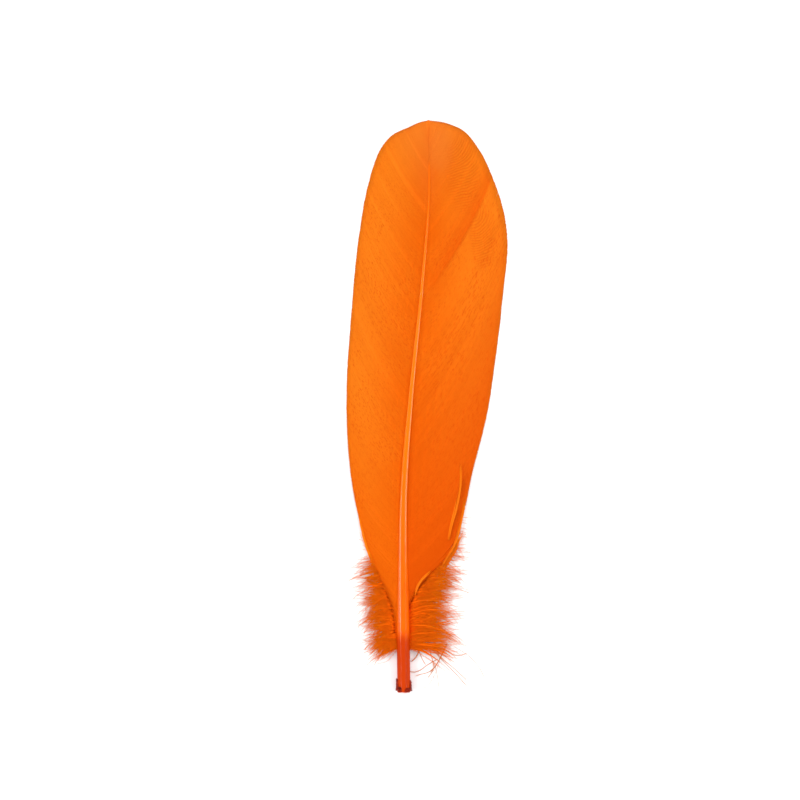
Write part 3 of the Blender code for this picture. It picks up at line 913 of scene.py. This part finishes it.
draw = np.random.default_rng(11)
flakes = [make_flake(f"sheath_flake_{number}", draw, *flake) for number, flake in enumerate(FLAKES, 1)]
deselect_all()
for flake in flakes:
    flake.select_set(True)
bpy.context.view_layer.objects.active = flakes[0]
bpy.ops.object.join()
sheath = bpy.context.object
sheath.name = "dried_sheath"
print("sheath has", len(sheath.data.polygons), "faces")

# %% [markdown]
# ## Shader sums in Python
#
# A material's pattern is arithmetic on sockets. Wiring Math nodes by name is hard to read, so one small
# class wraps a socket and turns each Python sum into its node.

# %% A class for sums of sockets


def feed(tree, socket, given):
    """Links a Value to the socket, or sets the socket to a plain value."""
    if isinstance(given, Value):
        tree.links.new(given.socket, socket)
    else:
        socket.default_value = given


class Value:
    """A socket of a material that takes part in Python sums."""

    def __init__(self, tree, socket):
        self.tree = tree
        self.socket = socket

    def sum(self, operation, *given):
        node = self.tree.nodes.new("ShaderNodeMath")
        node.operation = operation
        for socket, term in zip(node.inputs, given):
            feed(self.tree, socket, term)
        return Value(self.tree, node.outputs[0])

    def __add__(self, other):
        return self.sum("ADD", self, other)

    __radd__ = __add__

    def __sub__(self, other):
        return self.sum("SUBTRACT", self, other)

    def __rsub__(self, other):
        return self.sum("SUBTRACT", other, self)

    def __mul__(self, other):
        return self.sum("MULTIPLY", self, other)

    __rmul__ = __mul__

    def __pow__(self, other):
        return self.sum("POWER", self, other)

    def sine(self):
        return self.sum("SINE", self)

    def rise(self, start, end):
        """0 below start and 1 above end, with a smooth way between them."""
        node = self.tree.nodes.new("ShaderNodeMapRange")
        node.interpolation_type = "SMOOTHSTEP"
        self.tree.links.new(self.socket, node.inputs["Value"])
        node.inputs["From Min"].default_value = start
        node.inputs["From Max"].default_value = end
        return Value(self.tree, node.outputs[0])


class Finish:
    """A material under construction."""

    def __init__(self, name, colour):
        self.colour = colour
        self.material = bpy.data.materials.new(name)
        self.material.use_nodes = True
        self.tree = self.material.node_tree
        self.shader = self.tree.nodes["Principled BSDF"]
        self.output = self.tree.nodes["Material Output"]

    def node(self, kind, settings=None, output=0, **sockets):
        """Any node: its settings are set first, then the values or links of its sockets, by name."""
        made = self.tree.nodes.new(kind)
        for key, given in (settings or {}).items():
            setattr(made, key, given)
        for key, given in sockets.items():
            feed(self.tree, made.inputs[key.replace("_", " ")], given)
        return Value(self.tree, made.outputs[output])

    def tint(self, factor, colour):
        """Mixes another colour into the colour so far."""
        made = self.tree.nodes.new("ShaderNodeMix")
        made.data_type = "RGBA"
        for number, given in ((0, factor), (6, self.colour), (7, colour)):
            feed(self.tree, made.inputs[number], given)
        self.colour = Value(self.tree, made.outputs[2])

    def noise(self, vector, scale, detail=2.0):
        return self.node("ShaderNodeTexNoise", Vector=vector, Scale=scale, Detail=detail)

    def attribute(self, name):
        return self.node("ShaderNodeAttribute", {"attribute_name": name}, output=2)

    def split(self, vector):
        """The x, y and z of a vector."""
        made = self.tree.nodes.new("ShaderNodeSeparateXYZ")
        feed(self.tree, made.inputs[0], vector)
        return [Value(self.tree, made.outputs[i]) for i in range(3)]

    def place(self, scale=(1, 1, 1)):
        """Object coordinates, stretched."""
        coordinates = self.node("ShaderNodeTexCoord", output=3)
        return self.node("ShaderNodeMapping", Vector=coordinates, Scale=scale)

    def grain(self):
        """(share along the barb, share along the feather, both as a vector)."""
        vector = self.node("ShaderNodeUVMap", {"uv_map": "grain"})
        return *self.split(vector)[:2], vector

    def spot(self, middle, size):
        """1 in the middle of an oval on the feather's plan, and 0 outside it."""
        x, y, _ = self.split(self.place())
        apart = ((x - middle[0]) * (1 / size[0])) ** 2 + ((y - middle[1]) * (1 / size[1])) ** 2
        return 1 - apart.rise(0.1, 1.0)

    def surface(self, **sockets):
        """Sets the shader's sockets by name, and its base colour to the colour so far."""
        for key, given in {"Base_Color": self.colour, **sockets}.items():
            feed(self.tree, self.shader.inputs[key.replace("_", " ")], given)

    def let_light_through(self, share, colour):
        """Mixes in light that comes through from behind, as in a thin leaf."""
        through = self.tree.nodes.new("ShaderNodeBsdfTranslucent")
        through.inputs["Color"].default_value = colour
        blend = self.tree.nodes.new("ShaderNodeMixShader")
        blend.inputs[0].default_value = share
        self.tree.links.new(self.shader.outputs[0], blend.inputs[1])
        self.tree.links.new(through.outputs[0], blend.inputs[2])
        self.tree.links.new(blend.outputs[0], self.output.inputs["Surface"])


# %% [markdown]
# ## The dyed vane
#
# The vane is painted darker beside the shaft and lighter towards its edge: painted shade where it dips to
# the shaft, and painted light where it falls away towards the side lamps. Towards its base it is darker
# again, the right vane more and further up, and it has a thin paler rim and a paler tip. The eye also sees
# fine flecks along the barbs, and each barb a shade off its neighbours. On the right vane, painted shade
# lies in a fold and in the troughs of fine ripples, and painted light on a patch near the tip.

# %% Vane finish
# The vane's colour in painted shade beside the shaft, and in painted light at its edge
SHADED_NEAR_SHAFT = (0.87, 0.134, 0.002, 1)
AT_EDGE = (0.92, 0.219, 0.009, 1)
RIM = (0.9, 0.23, 0.01, 1)
# Darker flecks along the barbs, and also the painted shade in the ripples' troughs
FLECK_AND_RIPPLE_SHADE = (0.74, 0.076, 0.0005, 1)
PALE_TIP = (0.88, 0.21, 0.022, 1)
DEEP = {-1: (0.86, 0.14, 0.002, 1), 1: (0.79, 0.096, 0.0012, 1)}
DEEP_UNTIL = {-1: 0.42, 1: 0.6}
RIPPLE = 0.78 * MM
# Where fine ripples show: middle and size of the patch, and the point that they circle
RIPPLES = (((10.6 * MM, 69 * MM), (6.5 * MM, 15 * MM), (5 * MM, 80 * MM)),
           ((16.5 * MM, 50 * MM), (5 * MM, 12 * MM), (12 * MM, 58 * MM)))
# A patch of painted light near the right vane's tip: middle and size
PAINTED_LIGHT_SPOT = ((4 * MM, 76.5 * MM), (4.5 * MM, 9 * MM))
# Where the painted shade of the right vane's fold begins, and how far up it fades
FOLD_SHADE_FROM, FOLD_SHADE_BREADTH = 0.69, 0.1
DULL = 0.02
THROUGH_VANE, THROUGH_SHARE = (1.0, 0.17, 0.003, 1), 0.2
# Scales of noise, per metre: patches of dye, the vane's fine grain, the wander of the ripples
PATCHES, FINE_GRAIN, WANDER = 110, 2600, 160
WANDER_SIZE = 2.2 * MM
FLECK_GRAIN = (34, 330, 1)  # flecks along one barb, and along the feather


def vane_finish(side):
    finish = Finish("dyed_vane", SHADED_NEAR_SHAFT)
    out, along, vector = finish.grain()
    strand = finish.attribute("strand")
    # Painted shade beside the shaft, turning to painted light towards the edge
    finish.tint(out.rise(-0.05, 0.85), AT_EDGE)
    patches = finish.noise(finish.place(), PATCHES, 3.0)
    finish.tint(patches.rise(0.35, 0.7) * 0.25, AT_EDGE)
    finish.tint(along.rise(0.8, 0.97) * 0.6, PALE_TIP)
    finish.tint(1 - along.rise(0.14, DEEP_UNTIL[side]), DEEP[side])
    height = finish.noise(finish.place(), FINE_GRAIN)
    if side > 0:
        # Painted shade in the right vane's fold, between the shaft and its crease
        fold_shade = 1 - along.rise(FOLD_SHADE_FROM, FOLD_SHADE_FROM + FOLD_SHADE_BREADTH)
        fold_shade = along.rise(FOLD_SHADE_FROM - 0.012, FOLD_SHADE_FROM) * fold_shade
        finish.tint(fold_shade * out.rise(0.02, 0.4) * 0.55, DEEP[side])
        # Painted light on a patch near the tip of the right vane
        finish.tint(finish.spot(*PAINTED_LIGHT_SPOT) * 0.5, PALE_TIP)
        x, y, _ = finish.split(finish.place())
        bent = finish.noise(finish.place(), WANDER) * WANDER_SIZE
        for middle, size, centre in RIPPLES:
            distance = ((x - centre[0]) ** 2 + (y - centre[1]) ** 2) ** 0.5 + bent
            wave = (distance * (2 * math.pi / RIPPLE)).sine() * 0.5 + 0.5
            shown = finish.spot(middle, size)
            # Painted shade in the ripples' troughs, beside the bump that raises them
            finish.tint(wave * shown * 0.45, FLECK_AND_RIPPLE_SHADE)
            height = height + wave * shown * 1.2
    flecks = finish.noise(finish.node("ShaderNodeMapping", Vector=vector, Scale=FLECK_GRAIN), 1.0)
    flecked = (patches.rise(0.35, 0.65) * 0.5 + 0.2) * (1 - along.rise(0.62, 0.9) * 0.6)
    finish.tint(flecks.rise(0.5, 0.68) * flecked, FLECK_AND_RIPPLE_SHADE)
    finish.tint(strand.rise(0.2, 1.0) * 0.12, FLECK_AND_RIPPLE_SHADE)
    finish.tint(out.rise(0.955, 0.99) * 0.5, RIM)
    bump = finish.node("ShaderNodeBump", Height=height, Strength=0.5, Distance=0.00012)
    roughness = flecks.rise(0.2, 0.8) * 0.12 + 0.56
    finish.surface(Roughness=roughness, Normal=bump, Specular_IOR_Level=DULL)
    finish.let_light_through(THROUGH_SHARE, THROUGH_VANE)
    return finish.material


left_vane.data.materials.append(vane_finish(-1))
right_vane.data.materials.append(vane_finish(1))

# %% [markdown]
# ## The horn of the quill
#
# The quill is hard and smooth, so it takes a coat of gloss over fine long streaks, which shows as one line
# of light on each flank. Its colour runs from deep red-orange at the bare end to light orange between the
# vanes, and is lost in the colour of the vane towards the tip. The step to orange where the down starts is
# partly painted light, the orange light that the down throws on the quill, over the horn's own deeper red.

# %% Quill finish
BARE_HORN = (0.52, 0.04, 0.0005, 1)
DARK_HORN = (0.34, 0.015, 0.0003, 1)
DRIED_SKIN = (0.13, 0.005, 0.0003, 1)
LOW_HORN_AND_DOWN_LIGHT = (0.86, 0.12, 0.0008, 1)
MIDDLE_HORN = (0.86, 0.16, 0.0015, 1)
TIP_HORN = (0.82, 0.125, 0.002, 1)
STREAKS = (2600, 60, 2600)  # per metre across, along and up
SCRATCHES = (3000, 120, 3000)
STREAK_REACH = 6 * MM  # how far the colours run into one another
SKIN_PATCHES = 1500


def quill_finish():
    finish = Finish("dyed_horn", BARE_HORN)
    _, y, _ = finish.split(finish.place())
    streaks = finish.noise(finish.place(STREAKS), 1.0, 3.0)
    along = (y + streaks * STREAK_REACH - STREAK_REACH / 2) * (1 / LENGTH) + 0.5
    # Partly painted light: from where the down starts, the orange light of the down on the quill, over the
    # horn's own deeper red
    finish.tint(along.rise(0.088, 0.112), LOW_HORN_AND_DOWN_LIGHT)
    finish.tint(along.rise(0.15, 0.5), MIDDLE_HORN)
    finish.tint(along.rise(0.66, 0.9), TIP_HORN)
    finish.tint(streaks.rise(0.5, 0.75) * (1 - along.rise(0.1, 0.5)) * 0.45, DARK_HORN)
    height = finish.noise(finish.place(SCRATCHES), 1.0)
    bump = finish.node("ShaderNodeBump", Height=height, Strength=0.25, Distance=0.00006)
    across = finish.attribute("across")
    left_gloss = (1 - across.rise(-0.4, -0.1)) * along.rise(0.09, 0.13) * (1 - along.rise(0.28, 0.4) * 0.85)
    right_gloss = across.rise(0.05, 0.35) * along.rise(0.18, 0.34) * (1 - along.rise(0.6, 0.78) * 0.6)
    gloss = (left_gloss + right_gloss + 0.1) * (1 - along.rise(0.76, 0.88))
    finish.surface(Roughness=streaks * 0.16 + 0.3, Normal=bump, Coat_Weight=gloss,
                   Coat_Roughness=0.06, Specular_IOR_Level=DULL)
    return finish.material


def sheath_finish():
    finish = Finish("dried_sheath", DRIED_SKIN)
    patches = finish.noise(finish.place(), SKIN_PATCHES, 3.0)
    finish.tint(patches.rise(0.35, 0.65), DARK_HORN)
    bump = finish.node("ShaderNodeBump", Height=patches, Strength=0.6, Distance=0.0001)
    finish.surface(Roughness=patches * 0.3 + 0.2, Normal=bump, Specular_IOR_Level=0.2)
    return finish.material


shaft.data.materials.append(quill_finish())
sheath.data.materials.append(sheath_finish())

# %% [markdown]
# ## The fluff
#
# Down has no surface: what is seen is light caught in many fine hairs. So its material is plain and lets
# some light through, and the geometry does most of the work. The first part of each hair, beside the shaft,
# is painted darker as shade, for the shadow of the shaft and of the hairs above it.

# %% Down finish
# Painted shade on the first part of the hairs, where the shaft and the hairs above shade them
DOWN_ROOT_SHADE = (1.0, 0.065, 0.0004, 1)
DOWN_DEEP = (1.0, 0.135, 0.0008, 1)
DOWN_PALE = (1.0, 0.19, 0.004, 1)
HAIR_END = (0.93, 0.235, 0.005, 1)
STRAY_DEEP = (0.5, 0.13, 0.02, 1)
STRAY_PALE = (0.62, 0.2, 0.05, 1)
LOOSE_DEEP = (0.97, 0.19, 0.005, 1)
LOOSE_PALE = (1.0, 0.26, 0.012, 1)
THROUGH_DOWN = (1.0, 0.19, 0.003, 1)
HAIR_GRAIN = (3, 9, 1)
DOWN_PATCHES = 260


def down_finish(name, root, deep, pale, through=0.15, behind=THROUGH_DOWN):
    finish = Finish(name, deep)
    strand = finish.attribute("strand")
    out, _, vector = finish.grain()
    streaks = finish.noise(finish.node("ShaderNodeMapping", Vector=vector, Scale=HAIR_GRAIN), 1.0, 3.0)
    patches = finish.noise(finish.place(), DOWN_PATCHES)
    finish.tint(strand * 0.85 + streaks.rise(0.3, 0.7) * 0.15, pale)
    finest = strand.rise(0.6, 0.7)
    # Painted shade on each hair's first part, beside the shaft
    finish.tint((1 - out.rise(0.1, 0.32)) * (1 - finest), root)
    ends = out.rise(0.2, 0.9) * finest * 0.6 + out.rise(0.55, 0.95) * (1 - finest) * 0.7
    finish.tint(ends, HAIR_END)
    finish.surface(Roughness=patches * 0.2 + 0.6, Specular_IOR_Level=DULL)
    finish.let_light_through(through, behind)
    return finish.material


down_material = down_finish("dyed_down", DOWN_ROOT_SHADE, DOWN_DEEP, DOWN_PALE)
loose_material = down_finish("dyed_loose_barb", LOOSE_DEEP, LOOSE_DEEP, LOOSE_PALE)
stray_material = down_finish("dyed_stray_hair", STRAY_DEEP, STRAY_DEEP, STRAY_PALE, 0.2, STRAY_PALE)
for piece in down_pieces:
    piece.data.materials.append(down_material)
loose_barbs.data.materials.append(loose_material)
stray_hairs.data.materials.append(stray_material)

# %% [markdown]
# ## Floor, light and camera
#
# The feather lies on plain white and is seen from straight above. A long narrow soft box hangs on either
# side of it, which draws the two thin lights along the shaft, and a dim square one overhead fills in.

# %% Floor and light
SKY = 0.73
bpy.ops.mesh.primitive_plane_add(size=4, location=(0, 0, 0))
floor = bpy.context.object
floor.name = "floor"
paper = Finish("white_paper", (0.95, 0.95, 0.95, 1))
paper.surface(Roughness=0.8)
floor.data.materials.append(paper.material)


def soft_box(name, place, size, power):
    """A rectangular lamp that is turned to the middle of the feather."""
    bpy.ops.object.light_add(type="AREA", location=place)
    lamp = bpy.context.object
    lamp.name = name
    lamp.data.shape = "RECTANGLE"
    lamp.data.size, lamp.data.size_y = size
    lamp.data.energy = power
    x, y, z = place
    lamp.rotation_euler = (math.atan2(math.hypot(x, y), z), 0, math.atan2(x, -y))


soft_box("left_box", (-0.75, 0.1, 0.75), (1.0, 0.26), 6.2)
soft_box("right_box", (0.75, 0.1, 0.75), (1.0, 0.26), 5.6)
soft_box("top_box", (0.0, 0.4, 1.2), (0.9, 0.9), 2.5)
world = bpy.data.worlds.new("studio")
world.use_nodes = True
world.node_tree.nodes["Background"].inputs["Color"].default_value = (1, 1, 1, 1)
world.node_tree.nodes["Background"].inputs["Strength"].default_value = SKY
bpy.context.scene.world = world
bpy.context.scene.view_settings.view_transform = "Standard"

# %% Camera straight above, at the photograph's framing
PIXEL = 0.2959 * MM  # one pixel of an 800 pixel picture, at the feather's height
PICTURE = 800
LENS = 100
SENSOR = 36
SEEN_HEIGHT = 5 * MM
CENTRE = (-8.05 * MM, 1.78 * MM)
camera_data = bpy.data.cameras.new("camera")
camera_data.lens = LENS
camera_data.sensor_width = SENSOR
camera = bpy.data.objects.new("camera", camera_data)
bpy.context.scene.collection.objects.link(camera)
camera.location = (*CENTRE, SEEN_HEIGHT + PIXEL * PICTURE * LENS / SENSOR)
bpy.context.scene.camera = camera
print("camera is", round(camera.location.z, 3), "m up")

# %% [markdown]
# ## The pieces take the solid's place
#
# All the pieces together stand for the one solid feather, and the models that were copied go.

# %% Ride on the body, and replace the solid
for model in (barb_model, strip_model, thread_model, barbule_model):
    bpy.data.objects.remove(model)
fluffy = (*down_pieces, loose_barbs, stray_hairs)
slots = {"quill": (shaft, sheath), "vane": (left_vane, right_vane), "down": fluffy}
for finish_slot, pieces in slots.items():
    for piece in pieces:
        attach(piece, "root")
        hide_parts("feather")
